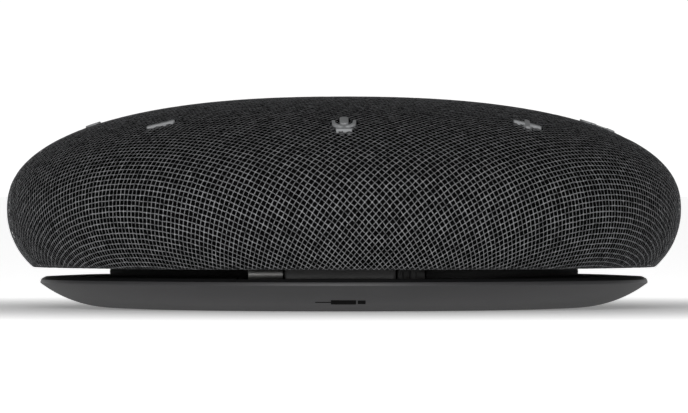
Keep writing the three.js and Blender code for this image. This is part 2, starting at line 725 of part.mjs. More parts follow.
function makeCone() {
  const neck = coilRadius + 0.35;
  return turned([[neck, drop(5.2)], [13, drop(3.6)], [coneRadius, drop(-0.3)], [coneRadius, drop(-0.9)],
    [13, drop(3)], [neck, drop(4.6)], [neck, drop(5.2)]], driverSteps);
}

function makeDustCap() {
  return turned([[0, drop(1.6)], [3.4, drop(1.9)], [6.6, drop(2.8)], [9.1, drop(3.6)],
    [9.3, drop(3.1)], [6.8, drop(2.2)], [3.5, drop(1.3)], [0, drop(1)]], driverSteps);
}

// A half roll between the cone's edge and the basket's flange, with a flat lip on each side.
function makeSurround() {
  const rollRadius = 2.2;
  const thick = 0.5;
  const middle = coneRadius + 2.1;
  const lipZ = drop(-1.3);
  const arc = (radius) => [1, 2, 3].map((i) => [
    middle - radius * Math.cos(Math.PI * i / 4), lipZ + radius * Math.sin(Math.PI * i / 4) * 0.85,
  ]);
  const inner = arc(rollRadius - thick);
  return turned([
    [coneRadius - 0.9, lipZ], [coneRadius - 0.9, lipZ + thick], [coneRadius - 0.3, lipZ + thick],
    ...arc(rollRadius), [middle + rollRadius + 0.4, lipZ + thick],
    [driverFrameRadius - 1.2, lipZ + thick], [driverFrameRadius - 1.2, lipZ],
    [middle + rollRadius - thick, lipZ], ...inner.reverse(), [middle - rollRadius + thick, lipZ],
    [coneRadius - 0.9, lipZ],
  ], driverSteps);
}

// A corrugated disc that centres the coil.
function makeSpider() {
  const waves = 6;
  const inner = coilRadius + 0.4;
  const outer = magnetRadius + 2.4;
  const under = [];
  for (let i = 0; i <= waves; i++) {
    const wave = 0.35 * Math.cos(Math.PI * i);
    under.push([inner + (outer - inner) * i / waves, drop(6.6) + wave]);
  }
  const top = under.map(([r, z]) => [r, z + 0.5]).reverse();
  return turned([...under, ...top, under[0]], driverSteps);
}

// ---------- microphones ----------

const micReach = domeRadius - 10;
const micZ = housingTopZ + 3.8;

function facingOut(geometry, reach, angle) {
  geometry.rotateZ(-Math.PI / 2).translate(reach, 0, micZ);
  return solid(geometry.rotateZ(THREE.MathUtils.degToRad(angle)));
}

function makeMicBoot(angle) {
  const body = facingOut(new THREE.CylinderGeometry(3.2, 3.2, 4, smallSteps), micReach, angle);
  const bore = facingOut(new THREE.CylinderGeometry(2.4, 2.4, 3, smallSteps), micReach + 1, angle);
  return cut(body, bore);
}

function makeMic(angle) {
  const can = facingOut(new THREE.CylinderGeometry(2, 2, 1.4, smallSteps), micReach + 0.5, angle);
  const port = facingOut(new THREE.CylinderGeometry(0.6, 0.6, 1, 6), micReach + 1.2, angle);
  return cut(can, port);
}

// ---------- assembly ----------

const finishes = {
  rubber: { color: 0x161616, roughness: 0.9, metalness: 0 },
  greyPlastic: { color: 0x5a5c5e, roughness: 0.5, metalness: 0 },
  blackPlastic: { color: 0x17181a, roughness: 0.45, metalness: 0 },
  steel: { color: 0x9a9a98, roughness: 0.4, metalness: 1 },
  bareSteel: { color: 0x6c6e70, roughness: 0.55, metalness: 1 },
  cable: { color: 0x151617, roughness: 0.65, metalness: 0 },
  cloth: { color: 0x333436, roughness: 0.95, metalness: 0 },
  iconGrey: { color: 0x8c8f92, roughness: 0.6, metalness: 0 },
  keyPlastic: { color: 0x202123, roughness: 0.5, metalness: 0 },
  board: { color: 0x14502c, roughness: 0.5, metalness: 0 },
  chip: { color: 0x1a1a1c, roughness: 0.4, metalness: 0 },
  ferrite: { color: 0x2a2a2c, roughness: 0.7, metalness: 0 },
  paper: { color: 0x26262a, roughness: 0.9, metalness: 0 },
  copper: { color: 0xa05a32, roughness: 0.45, metalness: 1 },
  clothSpider: { color: 0xb08a4a, roughness: 0.9, metalness: 0 },
};

const speakerphone = new THREE.Group();

function add(name, body, finish) {
  const mesh = new THREE.Mesh(geometryOf(body), new THREE.MeshStandardMaterial(finishes[finish]));
  mesh.name = name;
  speakerphone.add(mesh);
}

add('foot_pad', makeFoot(), 'rubber');
add('base_shell', makeBaseShell(), 'greyPlastic');
add('ballast_plate', makeBallast(), 'bareSteel');
add('base_top_plate', makeBaseTop(), 'blackPlastic');
add('neck_drum', makeNeck(), 'blackPlastic');
baseScrewPlaces.forEach((place, i) => (
  add(`base_screw_${i + 1}`, makeScrew(place, baseFloorZ + footRecess + gap, 1, mainBoardZ - 0.9), 'steel')));
add('cable_grommet', makeGrommet(), 'rubber');
add('cable', makeCable(), 'cable');
add('plug_relief', makeRelief(), 'cable');
add('plug_body', makePlugBody(), 'blackPlastic');
add('plug_tip', makePlugTip(), 'steel');
add('plug_insert', makePlugInsert(), 'chip');

add('lower_housing', makeHousing(), 'blackPlastic');
shellScrewPlaces.forEach((place, i) => (
  add(`shell_screw_${i + 1}`, makeScrew(place, housingTopZ - gap - 1, 1, housingTopZ + 9), 'steel')));
add('main_board', makeMainBoard(), 'board');
add('processor_chip', makeChip(-9, 12, 12, 0.9), 'chip');
add('amplifier_chip', makeChip(14, -8, 7, 0.8), 'chip');
add('cable_socket', makeSocket(), 'chip');
['left', 'right'].forEach((side, i) => {
  add(`mic_boot_${side}`, makeMicBoot([225, 315][i]), 'rubber');
  add(`mic_${side}`, makeMic([225, 315][i]), 'steel');
});

add('speaker_chamber', makeChamber(), 'blackPlastic');
chamberScrewPlaces.forEach((place, i) => {
  const screw = makeScrew([0, 0], 0, 1, 6.5).rotate([180, 0, 0]);
  add(`chamber_screw_${i + 1}`, screw.translate([...place, chamberFloorZ + 3.1]), 'steel');
});
add('driver_gasket', makeGasket(), 'rubber');
add('driver_basket', makeBasket(), 'bareSteel');
add('driver_magnet', makeMagnet(), 'ferrite');
add('driver_yoke', makeYoke(), 'bareSteel');
add('driver_top_plate', makeTopPlate(), 'bareSteel');
add('driver_spider', makeSpider(), 'clothSpider');
add('driver_surround', makeSurround(), 'rubber');
add('driver_cone', makeCone(), 'paper');
add('voice_coil', makeCoil(), 'copper');
add('dust_cap', makeDustCap(), 'paper');

add('button_board', makeButtonBoard(), 'board');
for (const name of Object.keys(keyPlaces)) {
  add(`switch_${name}`, makeSwitch(name), 'chip');
  add(`key_${name}`, makeKey(name), 'keyPlastic');
  add(`icon_${name}`, makeIcon(name), 'iconGrey');
}
add('grille_shell', makeGrilleShell(), 'blackPlastic');
add('cloth_cover', makeCloth(), 'cloth');

export default speakerphone;
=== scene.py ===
import math

import bpy
import numpy as np
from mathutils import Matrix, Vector


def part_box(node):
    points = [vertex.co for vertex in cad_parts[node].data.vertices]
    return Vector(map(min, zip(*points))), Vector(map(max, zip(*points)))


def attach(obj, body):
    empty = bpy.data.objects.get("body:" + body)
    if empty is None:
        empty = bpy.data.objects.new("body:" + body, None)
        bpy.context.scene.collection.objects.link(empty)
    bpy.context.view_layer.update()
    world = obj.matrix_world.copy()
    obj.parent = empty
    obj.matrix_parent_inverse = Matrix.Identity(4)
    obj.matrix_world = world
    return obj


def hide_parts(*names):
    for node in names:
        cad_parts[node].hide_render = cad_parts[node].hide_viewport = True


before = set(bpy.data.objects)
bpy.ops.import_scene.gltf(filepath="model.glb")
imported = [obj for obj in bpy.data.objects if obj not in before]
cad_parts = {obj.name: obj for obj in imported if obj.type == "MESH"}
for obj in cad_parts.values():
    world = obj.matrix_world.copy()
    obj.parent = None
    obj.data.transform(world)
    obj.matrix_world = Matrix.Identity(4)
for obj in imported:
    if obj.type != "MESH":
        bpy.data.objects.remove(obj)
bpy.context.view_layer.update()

mm = 0.001

# ---- Camera, table and lights ----
# A long lens a metre and a half in front of the speaker, just above its foot, and a white table that
# glows, its glow dimmed round the speaker as a painted shadow, in a room with a white back wall, dim side
# walls and a dark ceiling. A low soft front light and two weak side lights.

camera_height = 23 * mm
camera_aim_height = 20 * mm
camera_distance = 1.5
bpy.ops.object.camera_add(location=(0, -camera_distance, camera_height))
camera = bpy.context.object
camera.rotation_euler.x = math.pi / 2 - math.atan2(camera_height - camera_aim_height, camera_distance)
camera.data.lens = 397.5
camera.data.clip_start = 0.05
bpy.context.scene.camera = camera
bpy.context.scene.view_settings.view_transform = "Standard"


def material(name):
    made = bpy.data.materials.new(name)
    made.use_nodes = True
    nodes = made.node_tree.nodes
    return made, nodes, made.node_tree.links, nodes["Principled BSDF"]


def coat(piece, finish):
    """Gives a piece one finish all over."""
    if not piece.material_slots:
        piece.data.materials.append(finish)
    for slot in piece.material_slots:
        slot.material = finish


def cad(name):
    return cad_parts[name]


def speckle(nodes, links, scale, detail=4, stretch=(1, 1, 1)):
    """Noise over the piece's own coordinates; scale counts grains in a metre."""
    place = nodes.new("ShaderNodeTexCoord")
    turn = nodes.new("ShaderNodeMapping")
    turn.inputs["Scale"].default_value = stretch
    noise = nodes.new("ShaderNodeTexNoise")
    noise.inputs["Scale"].default_value = scale
    noise.inputs["Detail"].default_value = detail
    links.new(place.outputs["Object"], turn.inputs["Vector"])
    links.new(turn.outputs["Vector"], noise.inputs["Vector"])
    return noise


def ramp_between(nodes, links, factor, low, high, start=0.3, end=0.7):
    """A colour that goes from low to high as the factor goes from start to end."""
    ramp = nodes.new("ShaderNodeValToRGB")
    ramp.color_ramp.elements[0].position = start
    ramp.color_ramp.elements[1].position = end
    ramp.color_ramp.elements[0].color = (*low, 1)
    ramp.color_ramp.elements[1].color = (*high, 1)
    links.new(factor, ramp.inputs["Fac"])
    return ramp.outputs["Color"]


def scaled(nodes, links, value, from_low, from_high, low=0.0, high=1.0):
    """A value carried from one range to another and held at its ends."""
    carry = nodes.new("ShaderNodeMapRange")
    carry.inputs["From Min"].default_value = from_low
    carry.inputs["From Max"].default_value = from_high
    carry.inputs["To Min"].default_value = low
    carry.inputs["To Max"].default_value = high
    links.new(value, carry.inputs["Value"])
    return carry.outputs["Result"]


def range_of(nodes, links, factor, low, high):
    return scaled(nodes, links, factor, 0.3, 0.7, low, high)


def worked(nodes, links, operation, *values):
    """One step of arithmetic on numbers or other nodes' outputs."""
    step = nodes.new("ShaderNodeMath")
    step.operation = operation
    for socket, value in zip(step.inputs, values):
        if isinstance(value, float):
            socket.default_value = value
        else:
            links.new(value, socket)
    return step.outputs["Value"]


def roughen(nodes, links, shader, height, depth):
    bump = nodes.new("ShaderNodeBump")
    bump.inputs["Strength"].default_value = 1
    bump.inputs["Distance"].default_value = depth
    links.new(height, bump.inputs["Height"])
    links.new(bump.outputs["Normal"], shader.inputs["Normal"])


def moulded(name, low, high, rough, grain, depth, metal=0.0, stretch=(1, 1, 1), blotch=60):
    """A finish with two tones in broad clouds, a fine grain in relief and an uneven gloss."""
    made, nodes, links, shader = material(name)
    clouds = speckle(nodes, links, blotch, 3)
    fine = speckle(nodes, links, grain, 5, stretch)
    links.new(ramp_between(nodes, links, clouds.outputs["Fac"], low, high), shader.inputs["Base Color"])
    links.new(range_of(nodes, links, fine.outputs["Fac"], *rough), shader.inputs["Roughness"])
    roughen(nodes, links, shader, fine.outputs["Fac"], depth)
    shader.inputs["Metallic"].default_value = metal
    return made


table_size = 60
table_drop = 0.02 * mm  # below the foot's face
bpy.ops.mesh.primitive_plane_add(size=table_size, location=(0, 0, -table_drop))
table = bpy.context.object
table.name = "table"
table_white, nodes, links, shader = material("table_white")
links.new(
    ramp_between(nodes, links, speckle(nodes, links, 3).outputs["Fac"], (0.93,) * 3, (0.96,) * 3),
    shader.inputs["Base Color"],
)
shader.inputs["Roughness"].default_value = 0.9
shader.inputs["Specular IOR Level"].default_value = 0.1
shader.inputs["Emission Color"].default_value = (1, 1, 1, 1)
place = nodes.new("ShaderNodeTexCoord")
reach = nodes.new("ShaderNodeVectorMath")
reach.operation = "LENGTH"
links.new(place.outputs["Object"], reach.inputs[0])
# the table's glow is weaker where the speaker stands: a painted shadow round it
glow_with_painted_shadow = scaled(nodes, links, reach.outputs["Value"], 60 * mm, 170 * mm, 0.22, 0.85)
links.new(glow_with_painted_shadow, shader.inputs["Emission Strength"])
coat(table, table_white)

world = bpy.data.worlds.new("white_room")
bpy.context.scene.world = world
world.use_nodes = True
nodes, links = world.node_tree.nodes, world.node_tree.links
nodes["Background"].inputs["Color"].default_value = (1, 1, 1, 1)
way = nodes.new("ShaderNodeTexCoord")
parts = nodes.new("ShaderNodeSeparateXYZ")
links.new(way.outputs["Generated"], parts.inputs["Vector"])
towards_ceiling = scaled(nodes, links, parts.outputs["Z"], 0.1, 0.5, 1.05, 0.06)
aside = worked(nodes, links, "ABSOLUTE", parts.outputs["X"])
towards_sides = scaled(nodes, links, aside, 0.15, 0.9, 1.0, 0.1)
brightness = worked(nodes, links, "MULTIPLY", towards_ceiling, towards_sides)
links.new(brightness, nodes["Background"].inputs["Strength"])


def area_light(name, place, towards, size, power):
    bpy.ops.object.light_add(type="AREA", location=place)
    lamp = bpy.context.object
    lamp.name = name
    lamp.data.shape = "RECTANGLE"
    lamp.data.size, lamp.data.size_y = size
    lamp.data.energy = power
    lamp.rotation_euler = (Vector(towards) - Vector(place)).to_track_quat("-Z", "Y").to_euler()


middle = (0, 0, 0.02)
area_light("front_light", (-0.1, -1.2, 0.42), middle, (0.9, 0.5), 7.5)
area_light("left_light", (-1.0, -0.35, 0.12), middle, (0.5, 0.2), 0.3)
area_light("right_light", (1.0, -0.35, 0.12), middle, (0.5, 0.2), 0.3)

# ---- Rubber foot ----
# A black silicone disc stuck into the underside of the base. It carries the speaker, and two
# shallow rings in its face keep it from sucking onto a smooth table.


def alone(piece):
    """Leaves edit mode and has just this piece selected and active."""
    if bpy.context.mode != "OBJECT":
        bpy.ops.object.mode_set(mode="OBJECT")
    bpy.ops.object.select_all(action="DESELECT")
    piece.select_set(True)
    bpy.context.view_layer.objects.active = piece


def choose(piece, wanted):
    """Leaves just the vertices that wanted(x, y, z) is true for selected, in edit mode."""
    alone(piece)
    bpy.ops.object.mode_set(mode="EDIT")
    bpy.ops.mesh.select_mode(type="VERT")
    bpy.ops.mesh.select_all(action="DESELECT")
    bpy.ops.object.mode_set(mode="OBJECT")
    co = np.empty(len(piece.data.vertices) * 3)
    piece.data.vertices.foreach_get("co", co)
    x, y, z = co.reshape(-1, 3).T
    piece.data.vertices.foreach_set("select", np.broadcast_to(wanted(x, y, z), x.shape).copy())
    bpy.ops.object.mode_set(mode="EDIT")


def settle(piece):
    """Puts a piece's place into its mesh, so that its object sits at the origin."""
    alone(piece)
    bpy.ops.object.transform_apply(location=True, rotation=True, scale=True)


def apply_modifier(piece, kind, **settings):
    alone(piece)
    made = piece.modifiers.new(kind.lower(), kind)
    for key, value in settings.items():
        setattr(made, key, value)
    bpy.ops.object.modifier_apply(modifier=made.name)


def turned(name, outline, steps=144, edge=0.1 * mm):
    """A closed outline of (radius, height) points spun round the axis, its corners eased."""
    bpy.ops.object.select_all(action="DESELECT")
    bpy.ops.mesh.primitive_circle_add(vertices=len(outline), radius=1)
    piece = bpy.context.object
    piece.name = name
    piece.data.vertices.foreach_set("co", np.array([(r, 0, z) for r, z in outline]).ravel())
    bpy.ops.object.mode_set(mode="EDIT")
    bpy.ops.mesh.select_all(action="SELECT")
    bpy.ops.mesh.spin(steps=steps, angle=2 * math.pi, center=(0, 0, 0), axis=(0, 0, 1))
    bpy.ops.mesh.select_all(action="SELECT")
    bpy.ops.mesh.remove_doubles(threshold=0.002 * mm)
    bpy.ops.mesh.dissolve_degenerate(threshold=0.001 * mm)
    bpy.ops.mesh.select_all(action="SELECT")
    bpy.ops.mesh.normals_make_consistent(inside=False)
    bpy.ops.object.mode_set(mode="OBJECT")
    if edge:
        apply_modifier(piece, "BEVEL", width=edge, segments=2, angle_limit=math.radians(25))
    bpy.ops.object.shade_smooth_by_angle(angle=math.radians(35))
    return piece


foot_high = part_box("foot_pad")[1]
foot_radius = foot_high[0]
foot_top = foot_high[2]
ring_width = 0.8 * mm
ring_depth = 0.35 * mm
foot_outline = [(0, 0)]
for ring in (0.55, 0.86):
    at = foot_radius * ring
    foot_outline += [(at, 0), (at + ring_depth, ring_depth)]
    foot_outline += [(at + ring_width, ring_depth), (at + ring_width + ring_depth, 0)]
foot_edge = 0.4 * mm
foot_outline += [
    (foot_radius - foot_edge, 0), (foot_radius, foot_edge), (foot_radius, foot_top), (0, foot_top),
]
foot = turned("rubber_foot", foot_outline)
foot_rubber = moulded("foot_rubber", (0.012,) * 3, (0.02,) * 3, (0.75, 0.95), 3500, 0.05 * mm)
coat(foot, foot_rubber)
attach(foot, "housing")
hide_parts("foot_pad")

# ---- Base shell ----
# A shallow grey dish, injection moulded in satin ABS. Its underside sweeps up in one curve to a
# narrow band round the edge.

base_low, base_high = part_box("base_shell")
base_radius = base_high[0]
base_floor = base_low[2]
base_sweep = 24 * mm
base_wall = 1.5 * mm
sweep_centre = foot_radius + 1.4 * mm
band_bottom = 4.95 * mm
band_top = 5.74 * mm
foot_seat = foot_radius + 0.3 * mm
inner_floor = base_floor + 2.5 * mm


def sweep_radius(height, wall=0.0):
    """Radius of the dish's underside curve at a height, wall further in."""
    drop = base_floor + base_sweep - height
    return sweep_centre + math.sqrt((base_sweep - wall) ** 2 - drop**2)


seat_top = foot_top + 0.3 * mm
base_outline = [(0, seat_top), (foot_seat, seat_top), (foot_seat, base_floor)]
curve_steps = 28
for i in range(curve_steps + 1):
    height = base_floor + (band_bottom - base_floor) * (i / curve_steps) ** 2
    base_outline.append((sweep_radius(height), height))
base_outline += [
    (base_radius - 0.06 * mm, band_bottom + 0.14 * mm), (base_radius - 0.26 * mm, band_top),
]
base_outline += [(base_radius - 1.7 * mm, band_top), (base_radius - 2.1 * mm, 5.4 * mm)]
for i in range(9):
    height = 5.0 * mm - (5.0 * mm - inner_floor) * (i / 8) ** 0.7
    base_outline.append((sweep_radius(height, base_wall), height))
base_outline.append((0, inner_floor))
base = turned("base_dish", base_outline, steps=192, edge=0.06 * mm)
grey_plastic = moulded(
    "grey_plastic", (0.041, 0.0405, 0.0425), (0.047, 0.0465, 0.0485), (0.42, 0.52), 9000, 0.012 * mm,
)
coat(base, grey_plastic)
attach(base, "housing")
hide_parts("base_shell")

# ---- Cable mark ----
# A small plug picture on the front of the base, below the parked plug. It is three thin black
# inlays that follow the curve of the dish: a lead, a plug body and a plug tip.

mark_height = 1.87 * mm
mark_thick = 0.16 * mm
mark_parts = (  # from X, to X, height
    (-5.5 * mm, -2.4 * mm, 0.13 * mm),
    (-2.5 * mm, 2.3 * mm, 0.78 * mm),
    (2.62 * mm, 4.1 * mm, 0.66 * mm),
)
inlays = []
for from_x, to_x, tall in mark_parts:
    bpy.ops.object.select_all(action="DESELECT")
    bpy.ops.mesh.primitive_grid_add(x_subdivisions=24, y_subdivisions=8, size=1)
    inlay = bpy.context.object
    choose(inlay, lambda x, y, z: (abs(x) > 0.49) & (abs(y) > 0.49))
    bpy.ops.object.mode_set(mode="OBJECT")
    inlay.scale = (to_x - from_x, tall, 1)
    inlay.location = ((from_x + to_x) / 2, 0, 0)
    settle(inlay)
    choose(inlay, lambda x, y, z: (abs(x - (from_x + to_x) / 2) > (to_x - from_x) * 0.49)
           & (abs(y) > tall * 0.49))
    bpy.ops.mesh.bevel(affect="VERTICES", offset=tall * 0.11, segments=3)
    bpy.ops.object.mode_set(mode="OBJECT")
    for v in inlay.data.vertices:
        height = mark_height + v.co.y
        radius = sweep_radius(height)
        v.co = (v.co.x, -math.sqrt(radius**2 - v.co.x**2), height)
    bpy.ops.object.mode_set(mode="EDIT")
    bpy.ops.mesh.select_all(action="SELECT")
    bpy.ops.mesh.normals_make_consistent(inside=False)
    bpy.ops.object.mode_set(mode="OBJECT")
    if inlay.data.polygons[0].normal.y > 0:
        inlay.data.flip_normals()
    apply_modifier(inlay, "SOLIDIFY", thickness=mark_thick, offset=-0.5)
    inlays.append(inlay)
bpy.ops.object.select_all(action="DESELECT")
for inlay in inlays:
    inlay.select_set(True)
bpy.context.view_layer.objects.active = inlays[0]
bpy.ops.object.join()
mark = bpy.context.object
mark.name = "cable_mark"
mark_black = moulded("mark_black", (0.003,) * 3, (0.005,) * 3, (0.75, 0.85), 6000, 0.01 * mm)
mark_black.node_tree.nodes["Principled BSDF"].inputs["Specular IOR Level"].default_value = 0.05
coat(mark, mark_black)
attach(mark, "housing")

# ---- Ballast and base screws ----
# A zinc-plated steel disc lies in the dish to keep the speaker steady, and four self-tapping
# screws go up through the dish and the drum into the dome's housing.

steel_plate = moulded(
    "steel_plate", (0.36, 0.37, 0.38), (0.44, 0.45, 0.46), (0.35, 0.55), 1800, 0.02 * mm,
    metal=1.0, stretch=(1, 12, 1),
)
coat(cad("ballast_plate"), steel_plate)
screw_steel = moulded(
    "screw_steel", (0.4, 0.4, 0.39), (0.5, 0.5, 0.48), (0.28, 0.42), 6000, 0.01 * mm, metal=1.0,
)
for i in range(1, 5):
    coat(cad(f"base_screw_{i}"), screw_steel)

# ---- Base top plate ----
# A black moulded ring that closes the dish and forms the groove for the lead. It has a chamfered
# edge, and a pocket at the front that holds the parked plug.

plate_low, plate_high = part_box("base_top_plate")
plate_edge = plate_high[0]
plate_top = plate_high[2]
lip_top = 6.23 * mm
groove_outer = 46.63 * mm
groove_inner = 35.3 * mm
groove_floor = plate_low[2] + 1.2 * mm
plate_outline = [
    (groove_inner, plate_low[2]), (groove_outer - 0.5 * mm, plate_low[2]),
    (groove_outer + 1.3 * mm, 4.9 * mm), (plate_edge - 4.1 * mm, 4.9 * mm),
    (plate_edge - 3.5 * mm, 5.8 * mm), (plate_edge, 5.8 * mm), (plate_edge - 0.8 * mm, lip_top),
    (plate_edge - 6 * mm, plate_top - 0.04 * mm), (groove_outer + 0.5 * mm, plate_top),
    (groove_outer, plate_top - 0.4 * mm), (groove_outer, groove_floor), (groove_inner, groove_floor),
]
plate = turned("base_top", plate_outline, steps=192, edge=0.05 * mm)

# the pocket and the lead's way out of it
lead_radius = 1.7 * mm
clearance = 0.3 * mm
tip_low, tip_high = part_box("plug_tip")
body_low, body_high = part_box("plug_body")
relief_low, relief_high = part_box("plug_relief")
plug_y = (body_low[1] + body_high[1]) / 2
lead_z = (body_low[2] + body_high[2]) / 2
pocket = (
    (tip_low[0] - 2.3 * mm, body_low[1] - 1.2 * mm),
    (relief_high[0] + clearance, body_high[1] + 0.4 * mm),
)

outer_turn = 44.54 * mm
turn_pitch = 2 * lead_radius + clearance
inner_turn = outer_turn - 2 * turn_pitch


def bezier(points, steps):
    """The points along one cubic curve, ends included."""
    a, b, c, d = (np.array(p) for p in points)
    t = np.linspace(0, 1, steps + 1)[:, None]
    return (1 - t) ** 3 * a + 3 * (1 - t) ** 2 * t * b + 3 * (1 - t) * t**2 * c + t**3 * d


def around(radius, degrees):
    return np.array([radius * math.cos(math.radians(degrees)), radius * math.sin(math.radians(degrees))])


lead_joins = -30
lead_starts = np.array([relief_high[0] + clearance, plug_y])
straight_ends = lead_starts + (3 * mm, 0)
lead_out = [lead_starts, *bezier((
    straight_ends, straight_ends + (11 * mm, 0),
    around(outer_turn, lead_joins) - around(12 * mm, lead_joins + 90), around(outer_turn, lead_joins),
), 20)]


def tube(name, route, radius, sides=16):
    """A closed tube along flat points, at the lead's height."""
    line = bpy.data.curves.new(name, "CURVE")
    line.dimensions = "3D"
    spline = line.splines.new("POLY")
    spline.points.add(len(route) - 1)
    for point, (x, y) in zip(spline.points, route):
        point.co = (x, y, lead_z, 1)
    line.bevel_depth = radius
    line.bevel_resolution = sides // 2 - 2
    line.use_fill_caps = True
    piece = bpy.data.objects.new(name, line)
    bpy.context.scene.collection.objects.link(piece)
    alone(piece)
    bpy.ops.object.convert(target="MESH")
    piece = bpy.context.object
    bpy.ops.object.mode_set(mode="EDIT")
    bpy.ops.mesh.select_all(action="SELECT")
    bpy.ops.mesh.remove_doubles(threshold=0.005 * mm)
    bpy.ops.mesh.normals_make_consistent(inside=False)
    bpy.ops.object.mode_set(mode="OBJECT")
    bpy.ops.object.shade_smooth_by_angle(angle=math.radians(35))
    return piece


def combine(piece, others, operation):
    """Joins the others to a piece, or cuts them out of it, and throws them away."""
    tools = bpy.data.collections.new("tools")
    bpy.context.scene.collection.children.link(tools)
    for other in others:
        tools.objects.link(other)
    apply_modifier(
        piece, "BOOLEAN", operand_type="COLLECTION", collection=tools, operation=operation,
        solver="EXACT",
    )
    for other in others:
        bpy.data.objects.remove(other)
    bpy.data.collections.remove(tools)


pocket_tall = 9 * mm  # the cutter's height above the table
bpy.ops.object.select_all(action="DESELECT")
bpy.ops.mesh.primitive_cube_add(size=1, location=(
    (pocket[0][0] + pocket[1][0]) / 2, (pocket[0][1] + pocket[1][1]) / 2, pocket_tall / 2,
))
pocket_cutter = bpy.context.object
pocket_cutter.scale = (pocket[1][0] - pocket[0][0], pocket[1][1] - pocket[0][1], pocket_tall)
settle(pocket_cutter)
apply_modifier(pocket_cutter, "BEVEL", width=0.6 * mm, segments=3)
combine(plate, [pocket_cutter, tube("way_out", lead_out, lead_radius + clearance)], "DIFFERENCE")
alone(plate)
bpy.ops.object.shade_smooth_by_angle(angle=math.radians(30))
black_plastic = moulded(
    "black_plastic", (0.0085, 0.0087, 0.0092), (0.011, 0.0112, 0.0118), (0.4, 0.52), 9000, 0.01 * mm,
)
coat(plate, black_plastic)
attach(plate, "housing")
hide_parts("base_top_plate")

# ---- Neck drum and grommet ----
# The drum stands in the middle of the groove and carries the dome; the lead is wound on it and
# goes through a rubber saddle in its wall.

coat(cad("neck_drum"), black_plastic)
soft_rubber = moulded("soft_rubber", (0.011,) * 3, (0.017,) * 3, (0.6, 0.8), 4000, 0.03 * mm)
coat(cad("cable_grommet"), soft_rubber)

# ---- Lead ----
# A 3.4 mm round cable in a soft black jacket. It leaves the plug, goes two and a half times round
# the drum, stepping in a turn at a time at the back, and enters the drum from the left.

step_from, step_to = 190, 240
winding_ends = 885


def turn_radius(angle):
    radius = outer_turn
    for turn in range(2):
        t = min(max((angle - 360 * turn - step_from) / (step_to - step_from), 0), 1)
        radius -= turn_pitch * t * t * (3 - 2 * t)
    return radius


socket_gate = np.array([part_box("cable_socket")[0][0] - clearance, 0])
winding = [around(turn_radius(a), a) for a in range(lead_joins + 3, winding_ends, 3)]
lead_in = bezier((
    around(inner_turn, winding_ends),
    around(inner_turn, winding_ends) + around(17 * mm, winding_ends + 90),
    socket_gate - (14 * mm, 0), socket_gate,
), 24)
lead = tube("lead", [*lead_out, *winding, *lead_in], lead_radius)
cable_jacket = moulded("cable_jacket", (0.006,) * 3, (0.009,) * 3, (0.72, 0.88), 5000, 0.02 * mm)
coat(lead, cable_jacket)
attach(lead, "housing")
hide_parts("cable")

# ---- Plug ----
# A type C plug parked in its pocket: a drawn steel shell with a tongue, an overmoulded body with
# rounded sides, and a short ribbed sleeve where the lead leaves it.


def plug_bar(name, low, high, round_edge, end_edge):
    """A bar along X between two corners, with its long edges rounded and its ends eased."""
    bpy.ops.object.select_all(action="DESELECT")
    bpy.ops.mesh.primitive_cube_add(size=1, location=(Vector(low) + Vector(high)) / 2)
    bar = bpy.context.object
    bar.name = name
    bar.scale = Vector(high) - Vector(low)
    settle(bar)
    bpy.ops.object.mode_set(mode="EDIT")
    bpy.ops.mesh.select_mode(type="EDGE")
    bpy.ops.mesh.select_all(action="DESELECT")
    bpy.ops.object.mode_set(mode="OBJECT")
    for edge in bar.data.edges:
        a, b = (bar.data.vertices[i].co for i in edge.vertices)
        edge.select = abs(a.x - b.x) > 1e-4
    bpy.ops.object.mode_set(mode="EDIT")
    bpy.ops.mesh.bevel(offset=round_edge, segments=8, affect="EDGES")
    bpy.ops.object.mode_set(mode="OBJECT")
    if end_edge:
        apply_modifier(bar, "BEVEL", width=end_edge, segments=4, angle_limit=math.radians(50))
    alone(bar)
    bpy.ops.object.shade_smooth_by_angle(angle=math.radians(40))
    return bar


tip = plug_bar("plug_shell", tip_low, tip_high, (tip_high[2] - tip_low[2]) / 2 - 0.01 * mm, 0)
mouth_low = Vector(tip_low) + Vector((-1, 0.3, 0.3)) * mm
mouth_high = Vector(tip_high) - Vector((0.6, 0.3, 0.3)) * mm
mouth = plug_bar("mouth", mouth_low, mouth_high, (mouth_high[2] - mouth_low[2]) / 2 - 0.01 * mm, 0)
combine(tip, [mouth], "DIFFERENCE")
apply_modifier(tip, "BEVEL", width=0.08 * mm, segments=2, angle_limit=math.radians(50))
alone(tip)
bpy.ops.object.shade_smooth_by_angle(angle=math.radians(40))
plug_metal = moulded(
    "plug_metal", (0.36, 0.36, 0.35), (0.44, 0.44, 0.43), (0.42, 0.58), 5000, 0.008 * mm,
    metal=1.0, stretch=(0.1, 1, 1),
)
coat(tip, plug_metal)
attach(tip, "housing")
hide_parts("plug_tip")
chip_black = moulded("chip_black", (0.013,) * 3, (0.02,) * 3, (0.45, 0.6), 8000, 0.02 * mm)
coat(cad("plug_insert"), chip_black)

plug = plug_bar("plug_grip", body_low, body_high, 2.2 * mm, 0.55 * mm)
plug_plastic = moulded("plug_plastic", (0.018,) * 3, (0.024,) * 3, (0.38, 0.5), 7000, 0.012 * mm)
coat(plug, plug_plastic)
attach(plug, "housing")
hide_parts("plug_body")

